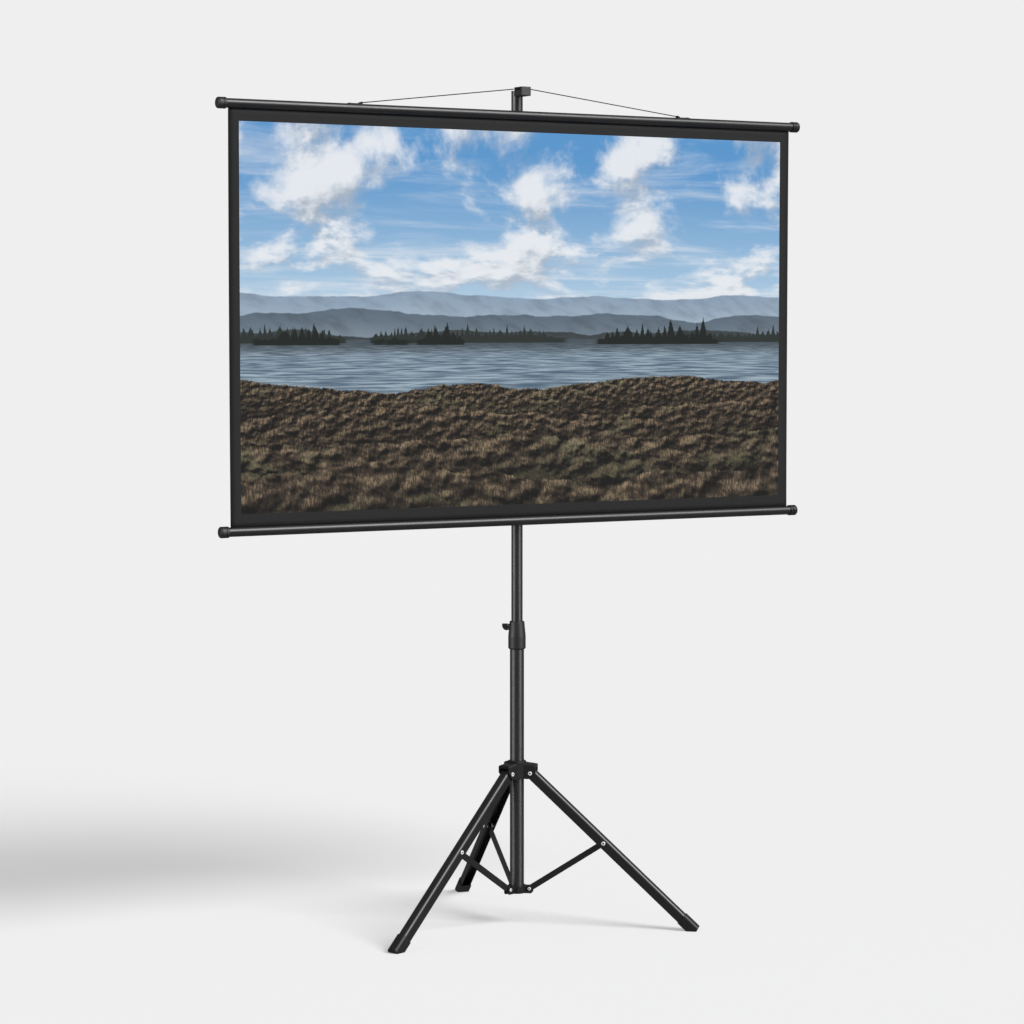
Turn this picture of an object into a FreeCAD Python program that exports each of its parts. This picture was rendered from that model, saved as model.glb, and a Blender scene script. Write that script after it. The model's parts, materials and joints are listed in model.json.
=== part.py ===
import FreeCAD, Part
import math
import os
import re
import Sketcher

# Projection screen that hangs from a hook on a telescoping mast with a folding tripod.
# Millimetres, +Z up, +X along the screen, -Y towards the audience.
# The origin is on the floor, on the mast's axis.

doc = FreeCAD.newDocument("projection_screen")
sheet = doc.addObject("Spreadsheet::Sheet", "dims")

DRIVING_SIZES = (
    # shared fits
    ("seat_gap", 0.1),
    ("run_gap", 0.3),
    ("overrun", 5),
    # mast tubes and the guide bush on the upper tube's foot
    ("lower_tube_od", 30),
    ("lower_tube_wall", 1.5),
    ("lower_tube_below_lock", 11.7),
    ("upper_tube_od", 24),
    ("upper_tube_wall", 1.2),
    ("upper_tube_foot", 300),
    ("bush_length", 30),
    ("bush_lip", 2.5),
    ("bush_lip_width", 4),
    # height collar on the lower tube
    ("collar_below_lock", 47.3),
    ("collar_above_lock", 12.6),
    ("collar_step_drop", 19.7),
    ("collar_wall", 3.6),
    ("collar_top_wall", 3.4),
    ("collar_chamfer", 2.6),
    ("collar_top_chamfer", 1.2),
    # height lock: stud axis, boss, stud, pad and thumb knob
    ("lock_height", 636.7),
    ("lock_azimuth", 150),
    ("lock_boss_od", 13),
    ("lock_boss_proud", 0.5),
    ("stud_od", 6),
    ("stud_grip", 7.5),
    ("pad_thickness", 1.6),
    ("knob_length", 12.2),
    ("knob_height", 14),
    ("knob_thickness", 8),
    ("knob_tip", 3.4),
    ("knob_heel", 4),
    ("knob_belly", 10.5),
    ("knob_round", 1.1),
    # leg channels
    ("leg_angle", 47.2),
    ("leg_width", 22),
    ("leg_depth", 22),
    ("leg_wall", 1.5),
    ("leg_crown", 7.5),
    ("leg_pivot_reach", 213.9),
    ("leg_in_shoe", 26),
    ("tripod_azimuth", 198.8),
    # foot shoes
    ("shoe_heel", 25.1),
    ("shoe_wall", 1.5),
    ("shoe_tip", 38.5),
    ("sole_length", 22),
    # struts and their spacers
    ("strut_width", 6),
    ("strut_depth", 12.4),
    ("strut_wall", 1.2),
    ("strut_solid_end", 16),
    ("spacer_od", 9),
    # rivets
    ("rivet_od", 5),
    ("rivet_head_od", 8.6),
    ("rivet_head", 1.5),
    ("rivet_dimple_od", 3.6),
    ("rivet_dimple", 2.2),
    ("rivet_chamfer", 0.5),
    # sliding leg hub
    ("hub_pivot_height", 326.2),
    ("hub_below_pivot", 12.2),
    ("hub_above_pivot", 23.8),
    ("hub_sleeve_wall", 4.4),
    ("hub_web", 1.5),
    ("hub_web_width", 14),
    ("hub_neck", 2.5),
    ("hub_neck_wall", 1),
    ("hub_roof_gap", 1),
    ("hood_wall", 3.4),
    ("hood_reach", 11.6),
    ("hood_drop", 5.5),
    ("hood_mouth", 15),
    ("hood_round", 4.6),
    # fixed strut hub round the mast's foot
    ("cup_pivot_height", 77.5),
    ("cup_below_pivot", 10),
    ("cup_above_pivot", 7),
    ("cup_floor", 3),
    ("cup_wall", 3),
    ("lug_room", 3.7),
    ("lug_wall", 3.2),
    ("lug_round", 6.4),
    ("lug_bevel", 2.6),
    ("lug_slot_start", 0.5),
    ("lug_rivet_head_od", 7),
    ("lug_rivet_dimple", 1.1),
    ("cup_boss_od", 13.5),
    ("cup_boss_proud", 1.4),
    ("cup_boss_drop", 1.5),
    # screen bars, end caps and splines
    ("bar_od", 19),
    ("bar_wall", 1.2),
    ("bar_slot", 2.4),
    ("bar_behind_gap", 1.9),
    ("top_bar_height", 1712),
    ("bottom_bar_height", 864.3),
    ("cap_length", 18),
    ("cap_wall", 1.9),
    ("cap_collar", 5),
    ("cap_groove", 1.4),
    ("cap_groove_depth", 0.8),
    ("cap_end_wall", 5),
    ("cap_round", 3.5),
    ("cap_gap", 6.2),
    ("spline_od", 6),
    ("spline_kerf", 2.4),
    # fabric
    ("fabric_width", 1356.6),
    ("fabric_thickness", 0.8),
    # hook block on the mast's head
    ("hook_width", 22.8),
    ("hook_depth", 31),
    ("hook_height", 19),
    ("hook_rise", 60),
    ("hook_above_tube", 7),
    ("hook_nose", 8.6),
    ("hook_lip", 2),
    ("hook_slot", 2.4),
    ("hook_slot_front", 2),
    ("hook_seat", 2),
    ("hook_seat_drop", 1.6),
    ("hook_round", 1.6),
    ("hook_screw_od", 4),
    ("hook_screw_head_od", 8),
    ("hook_screw_head", 2.6),
    ("hook_screw_bite", 14),
    ("hook_screw_drop", 9),
    # cord, its clips on the top bar and its ferrules
    ("cord_od", 2),
    ("cord_bend", 40),
    ("clip_reach", 382),
    ("clip_length", 31),
    ("clip_width", 9),
    ("clip_plate", 0.8),
    ("clip_ear", 1.8),
    ("clip_ear_height", 3.9),
    ("clip_hole_height", 2),
    ("clip_hole_od", 2.6),
    ("clip_rivet_inset", 4.5),
    ("clip_rivet_od", 3),
    ("clip_rivet_head_od", 6),
    ("clip_rivet_head", 1.6),
    ("ferrule_od", 3),
    ("ferrule_length", 5),
    ("ferrule_gap", 0.4),
)

names = [name for name, value in DRIVING_SIZES]
for row, (name, value) in enumerate(DRIVING_SIZES, start=1):
    sheet.set("A%d" % row, name)
    sheet.set("B%d" % row, str(value))
    sheet.setAlias("B%d" % row, name)
doc.recompute()

LEGS = ("left", "right", "back")
pieces = []


def bound(text):
    # an expression that reads the sheet's cells by their aliases
    def cell(word):
        return "dims." + word.group() if word.group() in names else word.group()

    return re.sub(r"[a-z]\w*", cell, text)


def size(text):
    return float(sheet.evalExpression(bound(text)))


# Values that several pieces share, as expressions on the sheet
LOWER_TOP = "(lock_height - lower_tube_below_lock)"
HOOK_TOP = "(top_bar_height + hook_rise)"
UPPER_TOP = "(top_bar_height + hook_rise - hook_above_tube)"
COLLAR_BOTTOM = "(lock_height - collar_below_lock)"
COLLAR_TOP = "(lock_height + collar_above_lock)"
COLLAR_OD = "(lower_tube_od + 2 * collar_wall)"
SCREEN_OFFSET = "(lower_tube_od / 2 + collar_wall + bar_od / 2 + bar_behind_gap)"
SLEEVE_RADIUS = "(lower_tube_od / 2 + run_gap + hub_sleeve_wall)"
HUB_PIVOT_RADIUS = "(lower_tube_od / 2 + 2 * run_gap + hub_sleeve_wall + leg_depth / 2)"
HUB_BOTTOM = "(hub_pivot_height - hub_below_pivot)"
HUB_TOP = "(hub_pivot_height + hub_above_pivot)"
CUP_BOTTOM = "(cup_pivot_height - cup_below_pivot)"
CUP_BOSS = "(cup_pivot_height - cup_boss_drop)"
CUP_TOP = "(cup_pivot_height + cup_above_pivot)"
CUP_RADIUS = "(lower_tube_od / 2 + seat_gap + cup_wall)"
CUP_PIVOT_RADIUS = "(lower_tube_od / 2 + seat_gap + cup_wall + lug_room + strut_depth / 2)"
HOOD_WIDTH = "(leg_width + 2 * run_gap + 2 * hood_wall)"
LUG_WIDTH = "(strut_width + 2 * run_gap + 2 * lug_wall)"
SHOE_HALF = "(leg_depth / 2 + shoe_wall)"
CAP_OD = "(bar_od + 2 * seat_gap + 2 * cap_wall)"
BAR_END = "(fabric_width / 2 + cap_gap + cap_length - cap_end_wall)"
SPLINE_DROP = "(bar_od / 2 - bar_wall - spline_od / 2 - seat_gap)"
FABRIC_INSET = "(bar_od / 2 - bar_wall - seat_gap - spline_kerf)"
HOOK_FRONT = "(lower_tube_od / 2 + collar_wall + bar_od / 2 + bar_behind_gap + hook_nose)"
SEAT_HEIGHT = "(top_bar_height + hook_rise - hook_lip - hook_slot)"
CORD_TOP = "(top_bar_height + hook_rise - hook_lip - hook_slot + cord_od / 2 + seat_gap)"
CLIP_HOLE = "(top_bar_height + bar_od / 2 + clip_plate / 2 + clip_hole_height)"

# The linkage in a leg's own upright plane: radius from the mast's axis and height
leg_angle = math.radians(size("leg_angle"))
hub_pivot = (size(HUB_PIVOT_RADIUS), size("hub_pivot_height"))
cup_pivot = (size(CUP_PIVOT_RADIUS), size("cup_pivot_height"))
leg_pivot = (hub_pivot[0] + size("leg_pivot_reach") * math.sin(leg_angle),
             hub_pivot[1] - size("leg_pivot_reach") * math.cos(leg_angle))
strut_run = (leg_pivot[0] - cup_pivot[0], leg_pivot[1] - cup_pivot[1])
strut_length = math.hypot(*strut_run)
strut_angle = math.atan2(*strut_run)


def origin_plane(body, role):
    return [item for item in body.Origin.OriginFeatures if item.Role == role][0]


def new_body(label):
    body = doc.addObject("PartDesign::Body", label)
    body.Label = label
    return body


def new_sketch(body, role, lift="0"):
    sketch = body.newObject("Sketcher::SketchObject", body.Label + "_sketch")
    sketch.AttachmentSupport = (origin_plane(body, role), [""])
    sketch.MapMode = "FlatFace"
    if lift != "0":
        sketch.setExpression("AttachmentOffset.Base.z", bound(lift))
    return sketch


def pin_point(sketch, line, end, across, up):
    # holds one end of a line, or a circle's centre, at a place on the sheet
    if size(across) == 0:
        sketch.addConstraint(Sketcher.Constraint("PointOnObject", line, end, -2))
    else:
        index = sketch.addConstraint(Sketcher.Constraint("DistanceX", -1, 1, line, end, size(across)))
        sketch.setExpression("Constraints[%d]" % index, bound(across))
    if size(up) == 0:
        sketch.addConstraint(Sketcher.Constraint("PointOnObject", line, end, -1))
    else:
        index = sketch.addConstraint(Sketcher.Constraint("DistanceY", -1, 1, line, end, size(up)))
        sketch.setExpression("Constraints[%d]" % index, bound(up))


def arc_between(start, end, radius):
    # the arc that bulges to the right of the way from start to end
    middle = (start + end) / 2
    run = end - start
    left = FreeCAD.Vector(-run.y, run.x, 0).normalize()
    depth = math.sqrt(max(radius ** 2 - (run.Length / 2) ** 2, 0))
    centre = middle + left * depth
    return Part.Arc(start, centre + left * -radius, end)


def outline(body, role, points, arcs=None, lift="0"):
    # a closed outline, anticlockwise, whose corners and arc radii are tied to the sheet
    arcs = arcs or {}
    sketch = new_sketch(body, role, lift)
    corners = [FreeCAD.Vector(size(across), size(up), 0) for across, up in points]
    count = len(corners)
    for index in range(count):
        start = corners[index]
        end = corners[(index + 1) % count]
        if index in arcs:
            sketch.addGeometry(arc_between(start, end, size(arcs[index])), False)
        else:
            sketch.addGeometry(Part.LineSegment(start, end), False)
    for index in range(count):
        sketch.addConstraint(Sketcher.Constraint("Coincident", index, 2, (index + 1) % count, 1))
    for index, (across, up) in enumerate(points):
        pin_point(sketch, index, 1, across, up)
    for index, radius in arcs.items():
        place = sketch.addConstraint(Sketcher.Constraint("Radius", index, size(radius)))
        sketch.setExpression("Constraints[%d]" % place, bound(radius))
    return sketch


def rounds(body, role, circles, lift="0"):
    # circles given as (across, up, radius)
    sketch = new_sketch(body, role, lift)
    for index, (across, up, radius) in enumerate(circles):
        centre = FreeCAD.Vector(size(across), size(up), 0)
        sketch.addGeometry(Part.Circle(centre, FreeCAD.Vector(0, 0, 1), size(radius)), False)
        pin_point(sketch, index, 3, across, up)
        place = sketch.addConstraint(Sketcher.Constraint("Radius", index, size(radius)))
        sketch.setExpression("Constraints[%d]" % place, bound(radius))
    return sketch


def frame_outline(across_low, up_low, across_high, up_high):
    return [(across_low, up_low), (across_high, up_low), (across_high, up_high), (across_low, up_high)]


def raised(body, kind, sketch, length, middle=False, back=False):
    # a Pad or Pocket of the sketch
    feature = body.newObject("PartDesign::" + kind, body.Label + "_" + kind.lower())
    feature.Profile = sketch
    feature.setExpression("Length", bound(length))
    feature.Midplane = middle
    feature.Reversed = back
    doc.recompute()
    return feature


def pad(body, sketch, length, middle=False, back=False):
    return raised(body, "Pad", sketch, length, middle, back)


def pocket(body, sketch, length, middle=False, back=False):
    before = body.Shape.Volume
    feature = raised(body, "Pocket", sketch, length, middle, back)
    if body.Shape.Volume >= before:
        raise RuntimeError(body.Label + ": a pocket cuts nothing")
    return feature


def turned(body, kind, sketch, axis_role):
    # a Revolution or Groove about one of the body's own axes
    feature = body.newObject("PartDesign::" + kind, body.Label + "_" + kind.lower())
    feature.Profile = sketch
    feature.ReferenceAxis = (origin_plane(body, axis_role), [""])
    feature.Angle = 360
    doc.recompute()
    return feature


def three_times(body, feature):
    # the tripod's three arms
    pattern = body.newObject("PartDesign::PolarPattern", body.Label + "_pattern")
    pattern.Originals = [feature]
    pattern.Axis = (origin_plane(body, "Z_Axis"), [""])
    pattern.Angle = 360
    pattern.Occurrences = len(LEGS)
    body.Tip = pattern
    doc.recompute()
    return pattern


def fillet(body, radius, wanted):
    # rounds the edges that the wanted test picks by their ends
    base = body.Tip
    edges = []
    for index, edge in enumerate(base.Shape.Edges, start=1):
        if len(edge.Vertexes) == 2 and wanted(edge.Vertexes[0].Point, edge.Vertexes[1].Point):
            edges.append("Edge%d" % index)
    feature = body.newObject("PartDesign::Fillet", body.Label + "_fillet")
    feature.Base = (base, edges)
    feature.setExpression("Radius", bound(radius))
    doc.recompute()
    return feature


def near(first, second):
    # equal to within a millionth of the part's height
    return abs(first - second) < 1e-6 * size(HOOK_TOP)


def place(piece, base=(0, 0, 0), rotation=None):
    piece.Placement = FreeCAD.Placement(FreeCAD.Vector(*base), rotation or FreeCAD.Rotation())
    pieces.append(piece)
    return piece


def about(axis, degrees):
    vectors = {"x": (1, 0, 0), "y": (0, 1, 0), "z": (0, 0, 1)}
    return FreeCAD.Rotation(FreeCAD.Vector(*vectors[axis]), degrees)


def azimuth_of(side):
    # the legs stand at equal turns, the first at the tripod's own azimuth
    return size("tripod_azimuth") + LEGS.index(side) * 360 / len(LEGS)


def radial(distance, height, angle):
    turn = math.radians(angle)
    return (distance * math.cos(turn), distance * math.sin(turn), height)


def group(label, solid, placements):
    # identical pieces in one node, as separate solids
    copies = []
    for base, rotation in placements:
        copy = solid.copy()
        copy.Placement = FreeCAD.Placement(FreeCAD.Vector(*base), rotation)
        copies.append(copy)
    piece = doc.addObject("Part::Feature", label)
    piece.Label = label
    piece.Shape = Part.makeCompound(copies)
    pieces.append(piece)
    return piece


# Mast tubes
def plain_tube(label, outer, wall, bottom, top):
    body = new_body(label)
    circles = [("0", "0", outer + " / 2"), ("0", "0", outer + " / 2 - " + wall)]
    ring = rounds(body, "XY_Plane", circles, bottom)
    pad(body, ring, top + " - (" + bottom + ")")
    return body


def mast():
    lower = plain_tube("mast_lower_tube", "lower_tube_od", "lower_tube_wall",
                       CUP_BOTTOM + " + cup_floor", LOWER_TOP)
    place(lower)
    upper = plain_tube("mast_upper_tube", "upper_tube_od", "upper_tube_wall",
                       "upper_tube_foot", UPPER_TOP)
    screw_height = UPPER_TOP + " - hook_screw_drop"
    screw_hole = rounds(upper, "XZ_Plane", [("0", screw_height, "hook_screw_od / 2 + seat_gap")])
    pocket(upper, screw_hole, "2 * upper_tube_od", middle=True)
    place(upper)

    bush = new_body("mast_guide_bush")
    inner = "upper_tube_od / 2 + seat_gap"
    outer = "lower_tube_od / 2 - lower_tube_wall - run_gap"
    lip = "upper_tube_od / 2 - bush_lip_width"
    shell = outline(bush, "XZ_Plane", [
        (lip, "upper_tube_foot - bush_lip"),
        (outer, "upper_tube_foot - bush_lip"),
        (outer, "upper_tube_foot + bush_length"),
        (inner, "upper_tube_foot + bush_length"),
        (inner, "upper_tube_foot"),
        (lip, "upper_tube_foot"),
    ])
    turned(bush, "Revolution", shell, "Z_Axis")
    place(bush)


# Height collar and its lock, along local +X before they turn to the lock's azimuth
def height_lock():
    turn = about("z", size("lock_azimuth"))
    bore = "upper_tube_od / 2 + run_gap"
    outer = COLLAR_OD + " / 2"
    neck = bore + " + collar_top_wall"
    collar = new_body("height_collar")
    skin = outline(collar, "XZ_Plane", [
        ("0", COLLAR_BOTTOM),
        (outer + " - collar_chamfer", COLLAR_BOTTOM),
        (outer, COLLAR_BOTTOM + " + collar_chamfer"),
        (outer, "lock_height - collar_step_drop"),
        (neck, COLLAR_TOP + " - collar_top_chamfer"),
        (neck + " - collar_top_chamfer", COLLAR_TOP),
        ("0", COLLAR_TOP),
    ])
    turned(collar, "Revolution", skin, "Z_Axis")
    boss_end = COLLAR_OD + " / 2 + lock_boss_proud"
    boss = rounds(collar, "YZ_Plane", [("0", "lock_height", "lock_boss_od / 2")])
    pad(collar, boss, boss_end)
    seat = "lower_tube_od / 2 + seat_gap"
    hollow = outline(collar, "XZ_Plane", [
        ("0", COLLAR_BOTTOM + " - overrun"),
        (seat, COLLAR_BOTTOM + " - overrun"),
        (seat, LOWER_TOP),
        (bore, LOWER_TOP),
        (bore, COLLAR_TOP + " + overrun"),
        ("0", COLLAR_TOP + " + overrun"),
    ])
    turned(collar, "Groove", hollow, "Z_Axis")
    stud_hole = rounds(collar, "YZ_Plane", [("0", "lock_height", "stud_od / 2 + seat_gap")])
    pocket(collar, stud_hole, boss_end + " + overrun", back=True)
    place(collar, rotation=turn)

    pad_start = "upper_tube_od / 2 + run_gap"
    stud_start = pad_start + " + pad_thickness + seat_gap"
    clamp_pad = doc.addObject("Part::Cylinder", "clamp_pad")
    clamp_pad.setExpression("Radius", bound("stud_od / 2 - seat_gap"))
    clamp_pad.setExpression("Height", bound("pad_thickness"))
    along = turn.multiply(about("y", 90))
    pad_base = turn.multVec(FreeCAD.Vector(size(pad_start), 0, size("lock_height")))
    place(clamp_pad, pad_base, along)
    knob_root = boss_end + " + run_gap"
    stud = doc.addObject("Part::Cylinder", "clamp_stud")
    stud.setExpression("Radius", bound("stud_od / 2"))
    stud.setExpression("Height", bound(knob_root + " + stud_grip - (" + stud_start + ")"))
    stud_base = turn.multVec(FreeCAD.Vector(size(stud_start), 0, size("lock_height")))
    place(stud, stud_base, along)

    knob = new_body("lock_knob")
    half = "knob_height / 2"
    tip = knob_root + " + knob_length"
    paddle = outline(knob, "XZ_Plane", [
        (knob_root, "-" + half),
        (knob_root + " + knob_heel", "-" + half),
        (tip, half + " - knob_tip"),
        (tip, half),
        (knob_root, half),
    ], arcs={1: "knob_belly"})
    pad(knob, paddle, "knob_thickness", middle=True)
    root = size(knob_root)
    fillet(knob, "knob_round", lambda a, b: not near(a.x, root) or not near(b.x, root))
    stud_bore = rounds(knob, "YZ_Plane", [("0", "0", "stud_od / 2 + seat_gap")])
    pocket(knob, stud_bore, knob_root + " + stud_grip", back=True)
    place(knob, (0, 0, size("lock_height")), turn)


# Hook block on the front of the mast's head; the cord lies at the slot's front end
def mast_head():
    block = new_body("hook_block")
    side = "hook_width / 2"
    back = "-(" + HOOK_FRONT + " - hook_depth)"
    base = outline(block, "XY_Plane", frame_outline("-" + side, "-" + HOOK_FRONT, side, back),
                   lift=HOOK_TOP + " - hook_height")
    pad(block, base, "hook_height")
    front = -size(HOOK_FRONT)
    fillet(block, "hook_round", lambda a, b: near(a.y, front) or near(b.y, front))
    saddle = rounds(block, "XY_Plane", [("0", "0", "upper_tube_od / 2 + seat_gap")],
                    lift=HOOK_TOP + " - hook_height - overrun")
    pocket(block, saddle, "hook_height + overrun - hook_above_tube", back=True)
    slot_front = SCREEN_OFFSET + " + hook_slot_front"
    slot = outline(block, "XZ_Plane", [
        ("-" + side + " - overrun", SEAT_HEIGHT + " - hook_seat_drop"),
        ("-hook_width / 2", SEAT_HEIGHT + " - hook_seat_drop"),
        ("-hook_seat / 2", SEAT_HEIGHT),
        ("hook_seat / 2", SEAT_HEIGHT),
        ("hook_width / 2", SEAT_HEIGHT + " - hook_seat_drop"),
        (side + " + overrun", SEAT_HEIGHT + " - hook_seat_drop"),
        (side + " + overrun", HOOK_TOP + " - hook_lip"),
        ("-" + side + " - overrun", HOOK_TOP + " - hook_lip"),
    ])
    pocket(block, slot, slot_front, back=True)
    screw_height = UPPER_TOP + " - hook_screw_drop"
    tube_front = "upper_tube_od / 2"
    screw_hole = rounds(block, "XZ_Plane", [("0", screw_height, "hook_screw_od / 2 + seat_gap")])
    pocket(block, screw_hole, tube_front + " + hook_screw_bite", back=True)
    place(block)

    screw = new_body("hook_screw")
    head_seat = "upper_tube_od / 2 + seat_gap"
    shank = "hook_screw_od / 2"
    form = outline(screw, "XY_Plane", [
        ("0", "-(" + tube_front + " + hook_screw_bite - seat_gap)"),
        (shank, "-(" + tube_front + " + hook_screw_bite - seat_gap)"),
        (shank, head_seat),
        ("hook_screw_head_od / 2", head_seat),
        ("hook_screw_head_od / 2", head_seat + " + hook_screw_head / 2"),
        ("hook_screw_od / 2", head_seat + " + hook_screw_head"),
        ("0", head_seat + " + hook_screw_head"),
    ])
    turned(screw, "Revolution", form, "Y_Axis")
    place(screw, (0, 0, size(screw_height)))


# Rivet with a rolled, hollow head at both ends, along local Y
def rivet_form(label, grip):
    body = new_body(label)
    half = "(" + grip + ") / 2"
    shank = "rivet_od / 2"
    head = "rivet_head_od / 2"
    dimple = "rivet_dimple_od / 2"
    end = half + " + rivet_head"
    upper = [
        (shank, half),
        (head, half),
        (head, end + " - rivet_chamfer"),
        (head + " - rivet_chamfer", end),
        (dimple, end),
        (dimple, end + " - rivet_dimple"),
        ("0", end + " - rivet_dimple"),
    ]
    lower = [(across, "-(" + up + ")") for across, up in reversed(upper)]
    turned(body, "Revolution", outline(body, "XY_Plane", lower + upper), "Y_Axis")
    return body


# Sliding hub that the three legs hinge on, its first hood along local +X
def leg_hub():
    hub = new_body("leg_hub")
    sleeve = outline(hub, "XZ_Plane", [
        ("0", HUB_BOTTOM),
        (SLEEVE_RADIUS, HUB_BOTTOM),
        (SLEEVE_RADIUS, HUB_TOP),
        ("lower_tube_od / 2 + run_gap + hub_neck_wall", HUB_TOP + " + hub_neck"),
        ("0", HUB_TOP + " + hub_neck"),
    ])
    turned(hub, "Revolution", sleeve, "Z_Axis")
    web_end = "-(" + SLEEVE_RADIUS + " + hub_web)"
    web = outline(hub, "XY_Plane", frame_outline(web_end, "-hub_web_width / 2", "0", "hub_web_width / 2"),
                  lift=HUB_BOTTOM)
    three_times(hub, pad(hub, web, HUB_TOP + " - " + HUB_BOTTOM))
    reach = HUB_PIVOT_RADIUS + " + hood_reach"
    hood = outline(hub, "XZ_Plane", [
        ("0", HUB_BOTTOM),
        (HUB_PIVOT_RADIUS, HUB_BOTTOM),
        (reach, HUB_TOP + " - hood_drop - hood_mouth"),
        (reach, HUB_TOP + " - hood_drop"),
        ("0", HUB_TOP),
    ])
    three_times(hub, pad(hub, hood, HOOD_WIDTH, middle=True))
    roof = "hub_pivot_height + leg_depth / 2 + hub_roof_gap"
    slot = outline(hub, "XZ_Plane", frame_outline(SLEEVE_RADIUS, HUB_BOTTOM + " - overrun",
                                                  reach + " + overrun", roof))
    three_times(hub, pocket(hub, slot, "leg_width + 2 * run_gap", middle=True))
    bore = rounds(hub, "XY_Plane", [("0", "0", "lower_tube_od / 2 + run_gap")], HUB_BOTTOM + " - overrun")
    pocket(hub, bore, HUB_TOP + " + hub_neck - " + HUB_BOTTOM + " + 2 * overrun", back=True)
    holes = rounds(hub, "XZ_Plane", [(HUB_PIVOT_RADIUS, "hub_pivot_height", "rivet_od / 2 + seat_gap")])
    three_times(hub, pocket(hub, holes, HOOD_WIDTH + " + 2 * overrun", middle=True))
    corner = math.hypot(size(reach), size(HOOD_WIDTH) / 2)
    mouth_top = size(HUB_TOP + " - hood_drop")

    def on_hood_roof(a, b):
        # the two long edges of each hood's roof, from the mouth's upper corners inwards
        inner, outer = sorted((a, b), key=lambda point: math.hypot(point.x, point.y))
        at_mouth = near(math.hypot(outer.x, outer.y), corner) and near(outer.z, mouth_top)
        return at_mouth and inner.z > outer.z + size("run_gap")

    fillet(hub, "hood_round", on_hood_roof)
    place(hub, rotation=about("z", azimuth_of(LEGS[0])))

    rivet = rivet_form("hub_rivet_form", HOOD_WIDTH)
    azimuths = [azimuth_of(side) for side in LEGS]
    spots = [(radial(*hub_pivot, azimuth), about("z", azimuth)) for azimuth in azimuths]
    group("hub_rivets", rivet.Shape, spots)


# Channel profile of a leg, looking along it: crown up, open below
def channel_outline(body, half_width, low, high, crown, lift="0"):
    points = [
        ("-(" + half_width + ")", low),
        (half_width, low),
        (half_width, high + " - (" + crown + ")"),
        (half_width + " - (" + crown + ")", high),
        ("-(" + half_width + ") + " + crown, high),
        ("-(" + half_width + ")", high + " - (" + crown + ")"),
    ]
    return outline(body, "YZ_Plane", points, arcs={2: crown, 4: crown}, lift=lift)


# Along the leg, local X runs from the hub's rivet to the foot and local Z to the crown
SOLE_START = "((hub_pivot_height - " + SHOE_HALF + " * sin(leg_angle)) / cos(leg_angle))"
SHOE_REACH = "(" + SOLE_START + " - shoe_heel)"
LEG_END = "(" + SHOE_REACH + " + leg_in_shoe)"


def leg_channel(side, base, rotation):
    leg = new_body("leg_channel_" + side)
    half = "leg_width / 2"
    deep = "leg_depth / 2"
    pad(leg, channel_outline(leg, half, "-" + deep, deep, "leg_crown"), LEG_END)
    pad(leg, rounds(leg, "XZ_Plane", [("0", "0", deep)]), "leg_width", middle=True)
    hollow = channel_outline(leg, half + " - leg_wall", "-leg_depth", deep + " - leg_wall",
                             "leg_crown - leg_wall", "-leg_depth")
    pocket(leg, hollow, LEG_END + " + leg_depth + overrun", back=True)
    hole = "rivet_od / 2 + seat_gap"
    holes = rounds(leg, "XZ_Plane", [("0", "0", hole), ("leg_pivot_reach", "0", hole)])
    pocket(leg, holes, "leg_width + 2 * overrun", middle=True)
    place(leg, base, rotation)


def foot_shoe(side, base, rotation):
    shoe = new_body("foot_shoe_" + side)
    low = "-" + SHOE_HALF
    form = outline(shoe, "XZ_Plane", [
        (SHOE_REACH, low),
        (SOLE_START, low),
        (SOLE_START + " + sole_length * sin(leg_angle)", low + " + sole_length * cos(leg_angle)"),
        (SHOE_REACH + " + shoe_tip", SHOE_HALF),
        (SHOE_REACH, SHOE_HALF),
    ])
    half_width = "leg_width / 2 + shoe_wall"
    pad(shoe, form, "2 * (" + half_width + ")", middle=True)
    crown = size(SHOE_HALF)
    fillet(shoe, "leg_crown", lambda a, b: near(a.z, crown) and near(b.z, crown) and near(a.y, b.y))
    seat = "leg_depth / 2 + seat_gap"
    socket = channel_outline(shoe, "leg_width / 2 + seat_gap", "-(" + seat + ")", seat, "leg_crown", LEG_END)
    pocket(shoe, socket, "leg_in_shoe + overrun")
    place(shoe, base, rotation)


def sheet_length(name, value):
    # a worked-out length, kept on the sheet below the driving sizes
    if name not in names:
        names.append(name)
        row = len(names)
        sheet.set("A%d" % row, name)
        sheet.set("B%d" % row, repr(value))
        sheet.setAlias("B%d" % row, name)
        doc.recompute()
    return name


# Strut along local X from the leg's rivet to the cup's lugs, channelled on its under side
def strut(side, base, rotation):
    body = new_body("strut_" + side)
    half = "strut_depth / 2"
    ends = sheet_length("strut_length", strut_length)
    bar = outline(body, "XZ_Plane", frame_outline("0", "-" + half, ends, half))
    pad(body, bar, "strut_width", middle=True)
    eyes = rounds(body, "XZ_Plane", [("0", "0", half), (ends, "0", half)])
    pad(body, eyes, "strut_width", middle=True)
    inside = "strut_width / 2 - strut_wall"
    groove = frame_outline("strut_solid_end", "-(" + inside + ")", ends + " - strut_solid_end", inside)
    hollow = outline(body, "XY_Plane", groove, lift="-(" + half + " - strut_wall)")
    pocket(body, hollow, "strut_depth", back=True)
    hole = "rivet_od / 2 + seat_gap"
    holes = rounds(body, "XZ_Plane", [("0", "0", hole), (ends, "0", hole)])
    pocket(body, holes, "strut_width + 2 * overrun", middle=True)
    place(body, base, rotation)


def spacer_form():
    body = new_body("spacer_form")
    ring = rounds(body, "XZ_Plane", [("0", "0", "spacer_od / 2"), ("0", "0", "rivet_od / 2 + seat_gap")])
    pad(body, ring, "leg_width / 2 - leg_wall - strut_width / 2 - 2 * seat_gap", middle=True)
    return body


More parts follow.
